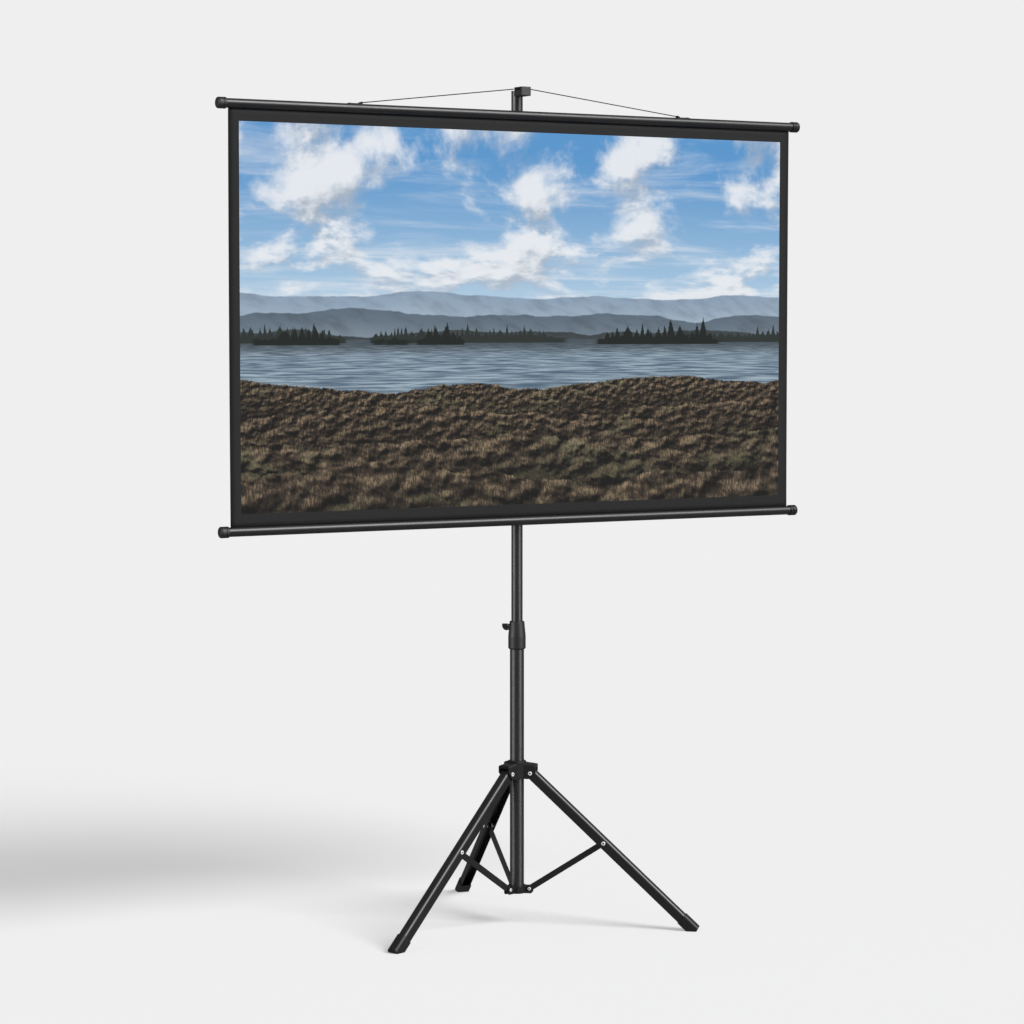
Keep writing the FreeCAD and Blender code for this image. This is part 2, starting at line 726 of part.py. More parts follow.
def tripod_legs():
    rivet = rivet_form("leg_rivet_form", "leg_width")
    spacer = spacer_form()
    spacer_place = size("(leg_width / 2 - leg_wall + strut_width / 2) / 2")
    for side in LEGS:
        azimuth = azimuth_of(side)
        base = radial(*hub_pivot, azimuth)
        lean = about("z", azimuth).multiply(about("y", 90 - math.degrees(leg_angle)))
        leg_channel(side, base, lean)
        foot_shoe(side, base, lean)
        joint = radial(*leg_pivot, azimuth)
        strut_lean = about("z", azimuth).multiply(about("y", 90 + math.degrees(strut_angle)))
        strut(side, joint, strut_lean)
        group("leg_rivet_" + side, rivet.Shape, [(joint, about("z", azimuth))])
        across = FreeCAD.Vector(-math.sin(math.radians(azimuth)), math.cos(math.radians(azimuth)), 0)
        spots = [(FreeCAD.Vector(*joint) + across * way * spacer_place, lean) for way in (-1, 1)]
        group("strut_spacers_" + side, spacer.Shape, spots)


# Cup round the mast's foot with a pair of lugs for each strut, the first pair along local +X
def strut_hub():
    cup = new_body("strut_hub")
    pad(cup, rounds(cup, "XY_Plane", [("0", "0", CUP_RADIUS)], CUP_BOTTOM), CUP_TOP + " - " + CUP_BOTTOM)
    end = CUP_PIVOT_RADIUS + " + lug_round"
    lug_top = "cup_pivot_height + lug_round"
    lug = outline(cup, "XZ_Plane", [
        ("0", CUP_BOTTOM),
        (end + " - lug_bevel", CUP_BOTTOM),
        (end, CUP_BOTTOM + " + lug_bevel"),
        (end, lug_top + " - lug_bevel"),
        (end + " - lug_bevel", lug_top),
        ("0", lug_top),
    ])
    three_times(cup, pad(cup, lug, LUG_WIDTH, middle=True))
    boss = rounds(cup, "YZ_Plane", [("0", CUP_BOSS, "cup_boss_od / 2")])
    three_times(cup, pad(cup, boss, CUP_RADIUS + " + cup_boss_proud", back=True))
    slot = outline(cup, "XZ_Plane", frame_outline(CUP_RADIUS + " + lug_slot_start", CUP_BOTTOM + " - overrun",
                                                  end + " + overrun", CUP_TOP + " + overrun"))
    three_times(cup, pocket(cup, slot, "strut_width + 2 * run_gap", middle=True))
    seat = rounds(cup, "XY_Plane", [("0", "0", "lower_tube_od / 2 + seat_gap")], CUP_BOTTOM + " + cup_floor")
    pocket(cup, seat, CUP_TOP + " - " + CUP_BOTTOM, back=True)
    place(cup, rotation=about("z", azimuth_of(LEGS[0])))

    # heads only: the struts' free ends pass between the lugs while the tripod folds
    head = new_body("lug_rivet_form")
    outer = "lug_rivet_head_od / 2"
    dimple = "rivet_dimple_od / 2"
    profile = outline(head, "XY_Plane", [
        ("0", "0"),
        (outer, "0"),
        (outer, "rivet_head - rivet_chamfer"),
        (outer + " - rivet_chamfer", "rivet_head"),
        (dimple, "rivet_head"),
        (dimple, "rivet_head - lug_rivet_dimple"),
        ("0", "rivet_head - lug_rivet_dimple"),
    ])
    turned(head, "Revolution", profile, "Y_Axis")
    spots = []
    for side in LEGS:
        azimuth = azimuth_of(side)
        turn = about("z", azimuth)
        for way, spin in ((1, 0), (-1, 180)):
            offset = turn.multVec(FreeCAD.Vector(0, way * size(LUG_WIDTH) / 2, 0))
            spots.append((FreeCAD.Vector(*radial(*cup_pivot, azimuth)) + offset, about("z", azimuth + spin)))
    group("strut_hub_rivets", head.Shape, spots)


# Slotted screen bars with their splines and end caps; local X runs along the bar, the slot faces down
def slotted_bar(label, height, roll):
    bar = new_body(label)
    ring = rounds(bar, "YZ_Plane", [("0", "0", "bar_od / 2"), ("0", "0", "bar_od / 2 - bar_wall")])
    pad(bar, ring, "2 * " + BAR_END, middle=True)
    slot = outline(bar, "XY_Plane", frame_outline("-" + BAR_END + " - overrun", "-bar_slot / 2",
                                                  BAR_END + " + overrun", "bar_slot / 2"))
    pocket(bar, slot, "bar_od")
    place(bar, (0, -size(SCREEN_OFFSET), size(height)), roll)


def edge_spline(label, height, roll):
    rod = new_body(label)
    circle = rounds(rod, "YZ_Plane", [("0", "-" + SPLINE_DROP, "spline_od / 2")])
    pad(rod, circle, "fabric_width", middle=True)
    half = "fabric_thickness / 2 + seat_gap"
    kerf = outline(rod, "YZ_Plane", frame_outline("-(" + half + ")", "-bar_od / 2", half, "-" + FABRIC_INSET))
    pocket(rod, kerf, "fabric_width + 2 * overrun", middle=True)
    place(rod, (0, -size(SCREEN_OFFSET), size(height)), roll)


def end_cap(label, height, way):
    cap = new_body(label)
    outer = CAP_OD + " / 2"
    bore = "bar_od / 2 + seat_gap"
    floor = outer + " - cap_groove_depth"
    profile = outline(cap, "XZ_Plane", [
        ("0", bore),
        ("cap_length - cap_end_wall", bore),
        ("cap_length - cap_end_wall", "0"),
        ("cap_length", "0"),
        ("cap_length", outer + " - cap_round"),
        ("cap_length - cap_round", outer),
        ("cap_collar + cap_groove", outer),
        ("cap_collar + cap_groove", floor),
        ("cap_collar", floor),
        ("cap_collar", outer),
        ("0", outer),
    ], arcs={4: "cap_round"})
    turned(cap, "Revolution", profile, "X_Axis")
    start = way * size("fabric_width / 2 + cap_gap")
    turn = about("z", 0 if way > 0 else 180)
    place(cap, (start, -size(SCREEN_OFFSET), size(height)), turn)


def screen():
    edges = (("top", "top_bar_height", about("x", 0)), ("bottom", "bottom_bar_height", about("x", 180)))
    for name, height, roll in edges:
        slotted_bar(name + "_bar", height, roll)
        edge_spline(name + "_edge_spline", height, roll)
        end_cap(name + "_cap_left", height, -1)
        end_cap(name + "_cap_right", height, 1)
    fabric = doc.addObject("Part::Box", "screen_fabric")
    fabric.setExpression("Length", bound("fabric_width"))
    fabric.setExpression("Width", bound("fabric_thickness"))
    fabric.setExpression("Height", bound("top_bar_height - bottom_bar_height - 2 * " + FABRIC_INSET))
    corner = (-size("fabric_width / 2"), -size(SCREEN_OFFSET + " + fabric_thickness / 2"),
              size("bottom_bar_height + " + FABRIC_INSET))
    place(fabric, corner)


# Cord clips on the top bar: a saddle plate with a holed ear at its inboard end and a window for the
# cord's ferrule, local X outboard
def cord_clips():
    top = "bar_od / 2"
    spots = []
    for name, way in (("left", -1), ("right", 1)):
        clip = new_body("cord_clip_" + name)
        plate = outline(clip, "XZ_Plane", frame_outline("clip_reach", "0",
                                                        "clip_reach + clip_length", top + " + clip_plate"))
        pad(clip, plate, "clip_width", middle=True)
        ear_base = top + " + clip_plate / 2"
        ear = outline(clip, "XZ_Plane", frame_outline("clip_reach", "0", "clip_reach + clip_ear",
                                                      ear_base + " + clip_ear_height"))
        pad(clip, ear, "clip_width", middle=True)
        saddle = rounds(clip, "YZ_Plane", [("0", "0", top + " + seat_gap")], "clip_reach - overrun")
        pocket(clip, saddle, "clip_length + 2 * overrun", back=True)
        room = "ferrule_od / 2 + run_gap"
        window = outline(clip, "XY_Plane", frame_outline(
            "clip_reach + clip_ear", "-(" + room + ")",
            "clip_reach + clip_ear + 2 * ferrule_gap + ferrule_length", room))
        pocket(clip, window, top + " + clip_plate + overrun", back=True)
        hole = rounds(clip, "YZ_Plane", [("0", ear_base + " + clip_hole_height", "clip_hole_od / 2")],
                      "clip_reach - overrun")
        pocket(clip, hole, "clip_ear + 2 * overrun", back=True)
        turn = about("z", 0 if way > 0 else 180)
        place(clip, (0, -size(SCREEN_OFFSET), size("top_bar_height")), turn)
        spot = (way * size("clip_reach + clip_length - clip_rivet_inset"), -size(SCREEN_OFFSET),
                size("top_bar_height + bar_od / 2 + clip_plate"))
        spots.append((spot, about("z", 0)))
    rivet = new_body("clip_rivet_form")
    head = "clip_rivet_head_od / 2"
    profile = outline(rivet, "XZ_Plane", [
        ("0", "0"),
        (head, "0"),
        (head, "clip_rivet_head / 3"),
        ("clip_rivet_od / 2", "clip_rivet_head"),
        ("0", "clip_rivet_head"),
    ])
    turned(rivet, "Revolution", profile, "Z_Axis")
    group("clip_rivets", rivet.Shape, spots)


# Hanging cord: two straight runs that meet in one bend over the hook's seat
def hanging_cord():
    bend = size("cord_bend")
    crest = size(CORD_TOP)
    eye = FreeCAD.Vector(size("clip_reach + clip_ear / 2"), 0, size(CLIP_HOLE))
    centre = FreeCAD.Vector(0, 0, crest - bend)
    to_eye = eye - centre
    lean = math.atan2(to_eye.x, to_eye.z) - math.acos(bend / to_eye.Length)
    leave = centre + FreeCAD.Vector(math.sin(lean), 0, math.cos(lean)) * bend
    run = (eye - leave).normalize()
    end = eye + run * size("clip_ear / 2 + ferrule_gap + ferrule_length")
    left_end = FreeCAD.Vector(-end.x, 0, end.z)
    left_leave = FreeCAD.Vector(-leave.x, 0, leave.z)
    path = Part.Wire([
        Part.LineSegment(left_end, left_leave).toShape(),
        Part.Arc(left_leave, FreeCAD.Vector(0, 0, crest), leave).toShape(),
        Part.LineSegment(leave, end).toShape(),
    ])
    section = Part.Wire([Part.Circle(left_end, left_leave - left_end, size("cord_od / 2")).toShape()])
    tube = path.makePipeShell([section], True, False)
    cord = doc.addObject("Part::Feature", "hanging_cord")
    cord.Label = "hanging_cord"
    cord.Shape = tube
    place(cord, (0, -size(SCREEN_OFFSET), 0))
    expected = math.pi * size("cord_od / 2") ** 2 * path.Length
    print("hanging cord: length %.1f mm, bend radius %.1f mm, volume %.4f of section times length"
          % (path.Length, bend, tube.Volume / expected))

    slope = math.degrees(math.atan2(-run.z, run.x))
    ferrule = new_body("ferrule_form")
    ring = rounds(ferrule, "YZ_Plane", [("0", "0", "ferrule_od / 2"), ("0", "0", "cord_od / 2 + seat_gap")])
    pad(ferrule, ring, "ferrule_length", back=True)
    spots = []
    for way, spin in ((1, 0), (-1, 180)):
        base = (way * end.x, -size(SCREEN_OFFSET), end.z)
        spots.append((base, about("z", spin).multiply(about("y", slope))))
    group("cord_ferrules", ferrule.Shape, spots)


mast()
height_lock()
mast_head()
leg_hub()
tripod_legs()
strut_hub()
screen()
cord_clips()
hanging_cord()
doc.recompute()

# Nothing is written unless every object is sound
for item in doc.Objects:
    if "Invalid" in item.State or "Error" in item.State:
        raise RuntimeError(item.Label + " failed: " + str(item.State))
for piece in pieces:
    if piece.Shape.isNull() or not piece.Shape.isValid() or not piece.Shape.Solids:
        raise RuntimeError(piece.Label + " has no sound shape")

os.makedirs("parts", exist_ok=True)
for piece in pieces:
    piece.Shape.exportStep("parts/" + piece.Label + ".step")
print("wrote %d pieces" % len(pieces))
print("strut length %.3f mm at %.3f degrees" % (strut_length, math.degrees(strut_angle)))
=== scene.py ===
import json
import math
import bmesh
import bpy
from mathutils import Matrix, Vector


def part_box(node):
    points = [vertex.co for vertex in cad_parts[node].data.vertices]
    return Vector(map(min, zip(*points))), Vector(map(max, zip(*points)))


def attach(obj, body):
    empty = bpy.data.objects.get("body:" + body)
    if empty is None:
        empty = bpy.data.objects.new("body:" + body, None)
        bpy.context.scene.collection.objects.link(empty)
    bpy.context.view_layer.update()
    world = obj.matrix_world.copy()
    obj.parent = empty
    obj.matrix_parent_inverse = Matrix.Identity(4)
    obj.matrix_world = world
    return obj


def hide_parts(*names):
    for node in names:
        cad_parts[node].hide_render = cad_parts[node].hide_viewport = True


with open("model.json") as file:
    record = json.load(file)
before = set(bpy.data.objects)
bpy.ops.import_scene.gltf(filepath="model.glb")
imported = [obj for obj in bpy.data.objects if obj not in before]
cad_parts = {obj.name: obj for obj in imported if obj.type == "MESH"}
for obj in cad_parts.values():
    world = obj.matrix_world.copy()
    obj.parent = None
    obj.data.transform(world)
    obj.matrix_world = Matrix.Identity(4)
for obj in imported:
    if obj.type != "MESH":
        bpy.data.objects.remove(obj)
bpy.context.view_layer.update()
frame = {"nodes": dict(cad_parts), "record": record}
nodes = frame["nodes"]
scene = bpy.context.scene
# the mean of a noise
middle = 0.5
print("frame loaded,", len(nodes), "nodes")


def grey(level, tint=0.0):
    return (level, level, level * (1 + tint), 1)


def placed(name, data):
    thing = bpy.data.objects.new(name, data)
    scene.collection.objects.link(thing)
    return thing


class Sock:
    # one socket of a material, so that sums can be written as sums
    def __init__(self, graph, out):
        self.graph = graph
        self.out = out

    def maths(self, operation, *terms):
        return self.graph.add("ShaderNodeMath", {"operation": operation}, dict(enumerate(terms)))

    def __add__(self, other):
        return self.maths("ADD", self, other)

    def __radd__(self, other):
        return self.maths("ADD", other, self)

    def __sub__(self, other):
        return self.maths("SUBTRACT", self, other)

    def __rsub__(self, other):
        return self.maths("SUBTRACT", other, self)

    def __mul__(self, other):
        return self.maths("MULTIPLY", self, other)

    def __rmul__(self, other):
        return self.maths("MULTIPLY", other, self)

    def __truediv__(self, other):
        return self.maths("DIVIDE", self, other)

    def __rtruediv__(self, other):
        return self.maths("DIVIDE", other, self)

    def __lt__(self, other):
        return self.maths("LESS_THAN", self, other)

    def __gt__(self, other):
        return self.maths("GREATER_THAN", self, other)

    def __abs__(self):
        return self.maths("ABSOLUTE", self)

    def ease(self, start, end):
        # 0 on start's side, 1 on end's side, smooth between
        sockets = {"Value": self, "From Min": start, "From Max": end}
        return self.graph.add("ShaderNodeMapRange", {"interpolation_type": "SMOOTHSTEP"}, sockets)

    def centred(self):
        return self - middle

    def wave(self):
        return self.maths("SINE", self)

    def whole(self):
        return self.maths("FLOOR", self)

    def part(self):
        return self.maths("FRACT", self)

    def most(self, other):
        return self.maths("MAXIMUM", self, other)


class Graph:
    def __init__(self, name):
        self.material = bpy.data.materials.new(name)
        self.material.use_nodes = True
        self.tree = self.material.node_tree
        self.shader = self.tree.nodes["Principled BSDF"]

    def add(self, kind, settings=None, sockets=None, out=0):
        node = self.tree.nodes.new(kind)
        for name, value in (settings or {}).items():
            setattr(node, name, value)
        for name, value in (sockets or {}).items():
            self.feed(node.inputs[name], value)
        return Sock(self, node.outputs[out])

    def feed(self, socket, value):
        if isinstance(value, Sock):
            self.tree.links.new(value.out, socket)
        else:
            socket.default_value = value

    def finish(self, **sockets):
        for name, value in sockets.items():
            self.feed(self.shader.inputs[name.replace("_", " ")], value)
        return self.material

    def place(self):
        # where on the piece, in metres
        return self.add("ShaderNodeTexCoord", out="Object")

    def spot(self, x, y, z=0.0):
        return self.add("ShaderNodeCombineXYZ", None, {"X": x, "Y": y, "Z": z})

    def scaled(self, vector, x, y, z):
        return self.add("ShaderNodeVectorMath", {"operation": "MULTIPLY"}, {0: vector, 1: (x, y, z)})

    def noise(self, vector, scale, detail=2.0, rough=0.5, twist=0.0):
        sockets = {"Vector": vector, "Scale": scale, "Detail": detail, "Roughness": rough}
        return self.add("ShaderNodeTexNoise", None, {**sockets, "Distortion": twist})

    def blend(self, factor, first, second):
        # the mix node's sockets for colours are 6 and 7, and 2 comes out
        return self.add("ShaderNodeMix", {"data_type": "RGBA"}, {0: factor, 6: first, 7: second}, out=2)

    def greys(self, factor, dark, pale, tint=0.0):
        return self.blend(factor, grey(dark, tint), grey(pale, tint))

    def bump(self, height, strength, distance, edge=0.0):
        # edge is how far the corners look rounded
        sockets = {"Height": height, "Strength": strength, "Distance": distance}
        if edge:
            sockets["Normal"] = self.add("ShaderNodeBevel", {"samples": 4}, {"Radius": edge})
        return self.add("ShaderNodeBump", None, sockets)


# satin black coat on the tubes, legs, struts and bars
coatLook = {"dark": 0.0075, "pale": 0.0130, "tint": 0.06, "patches": 26, "rough": 0.40, "patchRough": 0.10,
            "shine": 0.75, "peel": 900, "peelDepth": 0.00006, "peelRough": 0.05, "scuff": 0.05,
            "scuffTone": 0.12, "scuffRough": 0.08, "scuffLength": 14, "scuffAcross": 520,
            "hairs": (0.62, 0.74), "worn": (0.5, 0.7)}


def coatedSteel():
    graph = Graph("coatedSteel")
    where = graph.place()
    cloudy = graph.noise(where, coatLook["patches"], detail=4)
    peel = graph.noise(where, coatLook["peel"], detail=3)
    across = coatLook["scuffAcross"]
    hair = graph.noise(graph.scaled(where, across, across, coatLook["scuffLength"]), 1, detail=3)
    scuff = hair.ease(*coatLook["hairs"]) * cloudy.ease(*coatLook["worn"])
    base = graph.greys(cloudy, coatLook["dark"], coatLook["pale"], coatLook["tint"])
    base = graph.blend(scuff * coatLook["scuff"], base, grey(coatLook["scuffTone"]))
    rough = coatLook["rough"] + coatLook["patchRough"] * cloudy.centred()
    rough = rough + coatLook["peelRough"] * peel.centred() + coatLook["scuffRough"] * scuff
    skin = graph.bump(peel, strength=0.35, distance=coatLook["peelDepth"])
    return graph.finish(Base_Color=base, Roughness=rough, Specular_IOR_Level=coatLook["shine"], Normal=skin)


# black mouldings: hubs, collar, caps, shoes, hook and knob
mouldLook = {"dark": 0.0095, "pale": 0.0165, "tint": 0.04, "patches": 34, "rough": 0.48, "patchRough": 0.16,
             "grain": 1500, "grainDepth": 0.00012, "edge": 0.0016, "specks": 240, "dustFrom": (0.58, 0.8),
             "dust": 0.04, "dustTone": 0.2, "dustRough": 0.06}


def mouldedPlastic():
    graph = Graph("mouldedPlastic")
    where = graph.place()
    cloudy = graph.noise(where, mouldLook["patches"], detail=4)
    sockets = {"Vector": where, "Scale": mouldLook["grain"]}
    grain = graph.add("ShaderNodeTexVoronoi", {"feature": "SMOOTH_F1"}, sockets, out="Distance")
    dust = graph.noise(where, mouldLook["specks"], detail=5).ease(*mouldLook["dustFrom"])
    base = graph.greys(cloudy, mouldLook["dark"], mouldLook["pale"], mouldLook["tint"])
    base = graph.blend(dust * mouldLook["dust"], base, grey(mouldLook["dustTone"]))
    rough = mouldLook["rough"] + mouldLook["patchRough"] * cloudy.centred() + mouldLook["dustRough"] * dust
    skin = graph.bump(grain, strength=0.4, distance=mouldLook["grainDepth"], edge=mouldLook["edge"])
    return graph.finish(Base_Color=base, Roughness=rough, Normal=skin)


# rivets, stud and screws, with painted shade darkening their hollows
platedLook = {"dull": 0.76, "bright": 0.94, "tarnish": 300, "hollowShadeTone": 0.04, "hollowShadeReach": 0.003,
              "hollowShadeEdge": (0.35, 0.95), "metal": 0.30, "rough": 0.36, "tarnishRough": 0.14, "brush": 2600,
              "brushRough": 0.08, "brushDepth": 0.00004}


def platedSteel():
    graph = Graph("platedSteel")
    where = graph.place()
    tarnish = graph.noise(where, platedLook["tarnish"], detail=4)
    brush = graph.noise(where, platedLook["brush"])
    base = graph.greys(tarnish, platedLook["dull"], platedLook["bright"])
    # painted shade: the colour turns darker where ambient occlusion finds the surface enclosed
    sockets = {"Distance": platedLook["hollowShadeReach"]}
    openness = graph.add("ShaderNodeAmbientOcclusion", {"only_local": True}, sockets, out="AO")
    base = graph.blend(openness.ease(*platedLook["hollowShadeEdge"]), grey(platedLook["hollowShadeTone"]), base)
    rough = platedLook["rough"] + platedLook["tarnishRough"] * tarnish + platedLook["brushRough"] * brush
    skin = graph.bump(brush, strength=0.15, distance=platedLook["brushDepth"])
    return graph.finish(Base_Color=base, Roughness=rough, Metallic=platedLook["metal"], Normal=skin)


# spacers, pad and splines, which hardly show
nylonLook = {"shade": (0.55, 0.54, 0.49, 1), "light": (0.70, 0.69, 0.64, 1), "patches": 180, "rough": 0.42,
             "patchRough": 0.12, "depth": 0.00008}


def naturalNylon():
    graph = Graph("naturalNylon")
    cloudy = graph.noise(graph.place(), nylonLook["patches"], detail=3)
    base = graph.blend(cloudy, nylonLook["shade"], nylonLook["light"])
    rough = nylonLook["rough"] + nylonLook["patchRough"] * cloudy
    skin = graph.bump(cloudy, strength=0.2, distance=nylonLook["depth"])
    return graph.finish(Base_Color=base, Roughness=rough, Normal=skin)


# crimped ferrules on the cord
crimpLook = {"dull": 0.05, "bright": 0.12, "rough": 0.40, "drawn": (60, 2200, 2200), "drawnRough": 0.15,
             "rings": 45, "ringDepth": 0.0002}


def crimpedAluminium():
    graph = Graph("crimpedAluminium")
    where = graph.place()
    drawn = graph.noise(graph.scaled(where, *crimpLook["drawn"]), 1)
    sockets = {"Vector": where, "Scale": crimpLook["rings"]}
    rings = graph.add("ShaderNodeTexWave", {"bands_direction": "X"}, sockets)
    base = graph.greys(drawn, crimpLook["dull"], crimpLook["bright"])
    rough = crimpLook["rough"] + crimpLook["drawnRough"] * drawn
    skin = graph.bump(rings, strength=0.5, distance=crimpLook["ringDepth"])
    return graph.finish(Base_Color=base, Roughness=rough, Metallic=1.0, Normal=skin)


finishes = {
    "black_coated_steel": coatedSteel(),
    "black_moulded_plastic": mouldedPlastic(),
    "plated_steel": platedSteel(),
    "pale_plastic": naturalNylon(),
    "ferrule_aluminium": crimpedAluminium(),
}
for part in frame["record"]["subparts"]:
    piece = nodes[part["node"]]
    piece.data.materials.clear()
    if part["material_slot"] in finishes:
        piece.data.materials.append(finishes[part["material_slot"]])
print("finishes on the metal and plastic pieces")


# camera where the photograph was taken from
cameraSpot = {"place": (-3.0809, -5.2331, 1.27075), "tilt": 86.3263, "heading": -30.3873, "lens": 101.09,
              "sensor": 36}


def photoCamera():
    data = bpy.data.cameras.new("photoCamera")
    data.sensor_width = cameraSpot["sensor"]
    data.lens = cameraSpot["lens"]
    camera = placed("photoCamera", data)
    camera.location = cameraSpot["place"]
    camera.rotation_euler = (math.radians(cameraSpot["tilt"]), 0, math.radians(cameraSpot["heading"]))
    scene.camera = camera


photoCamera()
print("camera in place")


# hanging cord: its line's control points, left ferrule to right over the hook, and then its braid
cordRoute = {
    "points": [(-0.38916, -0.030, 1.72316), (-0.0160, -0.030, 1.76709), (-0.0040, -0.030, 1.7687),
               (0.0040, -0.030, 1.7687), (0.0160, -0.030, 1.76709), (0.38916, -0.030, 1.72316)],
    "diameter": 0.002, "length": 0.7836, "strandPitch": 0.0035, "strandWaves": 0.9, "strandDepth": 0.0003,
    "dark": 0.003, "pale": 0.012, "rough": 0.75, "shine": 0.15, "fuzz": 2400, "fuzzFrom": (0.55, 0.75),
    "fuzzShare": 0.15, "fuzzTone": 0.03, "fuzzRough": 0.1,
}


def braidedCord():
    graph = Graph("braidedCord")
    where = graph.place()
    turns = 1 / cordRoute["strandPitch"]
    sockets = {"Vector": graph.scaled(where, turns, turns, turns), "Scale": cordRoute["strandWaves"]}
    strands = graph.add("ShaderNodeTexWave", {"bands_direction": "DIAGONAL"}, sockets)
    fuzz = graph.noise(where, cordRoute["fuzz"], detail=3)
    base = graph.greys(strands, cordRoute["dark"], cordRoute["pale"])
    stray = fuzz.ease(*cordRoute["fuzzFrom"]) * cordRoute["fuzzShare"]
    base = graph.blend(stray, base, grey(cordRoute["fuzzTone"]))
    rough = cordRoute["rough"] + cordRoute["fuzzRough"] * fuzz
    skin = graph.bump(strands, strength=0.6, distance=cordRoute["strandDepth"])
    return graph.finish(Base_Color=base, Roughness=rough, Specular_IOR_Level=cordRoute["shine"], Normal=skin)


def hangingCord():
    curve = bpy.data.curves.new("hangingCord", "CURVE")
    curve.dimensions = "3D"
    spline = curve.splines.new("NURBS")
    spline.points.add(len(cordRoute["points"]) - 1)
    for point, spot in zip(spline.points, cordRoute["points"]):
        point.co = (*spot, 1)
    spline.order_u = 3
    spline.use_endpoint_u = True
    spline.resolution_u = 16
    curve.bevel_depth = cordRoute["diameter"] / 2
    curve.bevel_resolution = 4
    curve.use_fill_caps = True
    curve.materials.append(braidedCord())
    cord = placed("hangingCord", curve)
    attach(cord, "screen")
    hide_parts("hanging_cord")


hangingCord()
print("cord hung over the hook")


# painted shade: a dark plug that shuts the hook's slot behind the cord so the slot reads dark, sized from the
# slot
slotShadeLook = {"lip": 0.002, "slot": 0.0024, "seatHalf": 0.001, "seatDrop": 0.0016, "bite": 0.00005,
              "inset": 0.0008, "thick": 0.0016, "bow": 0.0008, "steps": 16, "shade": 0.006, "light": 0.016,
              "patches": 700, "rough": 0.72, "patchRough": 0.15, "depth": 0.00008}


# near-black colour for the plug, standing in for the shade inside the slot
def slotShadeBlack():
    graph = Graph("slotShadeBlack")
    cloudy = graph.noise(graph.place(), slotShadeLook["patches"], detail=4)
    base = graph.greys(cloudy, slotShadeLook["shade"], slotShadeLook["light"])
    rough = slotShadeLook["rough"] + slotShadeLook["patchRough"] * cloudy
    skin = graph.bump(cloudy, strength=0.3, distance=slotShadeLook["depth"])
    return graph.finish(Base_Color=base, Roughness=rough, Normal=skin)


def slotShadePlug():
    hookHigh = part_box("hook_block")[1]
    half = hookHigh.x - slotShadeLook["inset"]
    back = hookHigh.y - slotShadeLook["inset"]
    roof = hookHigh.z - slotShadeLook["lip"] + slotShadeLook["bite"]
    verts, faces = [], []
    for step in range(slotShadeLook["steps"] + 1):
        x = half * (2 * step / slotShadeLook["steps"] - 1)
        slope = max(0.0, abs(x) - slotShadeLook["seatHalf"]) / (hookHigh.x - slotShadeLook["seatHalf"])
        sill = roof - slotShadeLook["slot"] - slotShadeLook["seatDrop"] * slope - 2 * slotShadeLook["bite"]
        front = back - slotShadeLook["thick"] - slotShadeLook["bow"] * (1 - (x / half) ** 2)
        verts += [(x, front, sill), (x, front, roof), (x, back, roof), (x, back, sill)]
    corners = 4
    for step in range(slotShadeLook["steps"]):
        for side in range(corners):
            first, second = corners * step + side, corners * step + (side + 1) % corners
            faces.append((first, first + corners, second + corners, second))
    last = corners * slotShadeLook["steps"]
    faces += [(0, 1, 2, 3), (last + 3, last + 2, last + 1, last)]
    mesh = bpy.data.meshes.new("slotShadePlug")
    mesh.from_pydata(verts, [], faces)
    mesh.materials.append(slotShadeBlack())
    shadePlug = placed("slotShadePlug", mesh)
    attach(shadePlug, "mast")


slotShadePlug()
print("tongue set in the hook's slot")


# screen cloth: a thin sheet between the bars, pictured in front, black round the picture and behind
# dusty, backDark and backDusty are shares of the border's grey
clothLook = {"columns": 96, "rows": 64, "sideCurl": 0.0014, "curlPower": 14, "ripple": 0.0003,
             "rippleTurn": 5.2, "rippleStart": 0.7, "barHold": 0.6, "pictureHalf": 0.655,
             "pictureLow": 0.8992, "pictureHigh": 1.6779, "pictureRough": 0.16, "border": 0.0138,
             "dusty": 1.35, "tint": 0.03, "dust": 90, "dustRough": 0.10, "rough": 0.62, "shine": 0.3,
             "weave": 3900, "weaveDepth": 0.0002, "backDark": 0.85, "backDusty": 1.25, "backTint": 0.02,
             "backDust": 60, "backDustRough": 0.12, "backRough": 0.68}
clothLow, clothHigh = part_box("screen_fabric")


def clothDrift(across, up):
    # how far the cloth stands behind its flat plane: side edges curl back, the middle ripples a little
    inside = math.sin(math.pi * up) ** clothLook["barHold"] if 0 < up < 1 else 0.0
    curl = clothLook["sideCurl"] * abs(2 * across - 1) ** clothLook["curlPower"]
    turn = clothLook["rippleTurn"] * across + clothLook["rippleStart"]
    ripple = clothLook["ripple"] * math.sin(turn) * math.sin(math.pi * up)
    return (curl + ripple) * inside


def clothMesh():
    columns, rows = clothLook["columns"], clothLook["rows"]
    verts, faces, sides = [], [], []
    size = clothHigh - clothLow
    for plane in (clothLow.y, clothHigh.y):
        for row in range(rows + 1):
            for column in range(columns + 1):
                across, up = column / columns, row / rows
                behind = plane + clothDrift(across, up)
                verts.append((clothLow.x + size.x * across, behind, clothLow.z + size.z * up))
    step = columns + 1
    back = step * (rows + 1)
    for row in range(rows):
        for column in range(columns):
            a = row * step + column
            faces.append((a, a + 1, a + step + 1, a + step))
            faces.append((back + a, back + a + step, back + a + step + 1, back + a + 1))
            sides += [0, 1]
    rim = list(range(columns))
    rim += [row * step + columns for row in range(rows)]
    rim += [rows * step + columns - column for column in range(columns)]
    rim += [(rows - row) * step for row in range(rows)]
    for first, second in zip(rim, rim[1:] + rim[:1]):
        faces.append((second, first, back + first, back + second))
        sides.append(1)
    mesh = bpy.data.meshes.new("screenCloth")
    mesh.from_pydata(verts, [], faces)
    for face, side in zip(mesh.polygons, sides):
        face.material_index = side
        face.use_smooth = True
    mesh.update()
    return mesh


def weaveOf(graph, where):
    # two crossed sets of threads, 1 on a thread's crown and 0 between threads
    parts = graph.add("ShaderNodeSeparateXYZ", None, {0: where}).out.node.outputs
    across, up = Sock(graph, parts["X"]), Sock(graph, parts["Z"])
    warp = abs((across * clothLook["weave"]).wave())
    weft = abs((up * clothLook["weave"]).wave())
    return across, up, warp.most(weft)


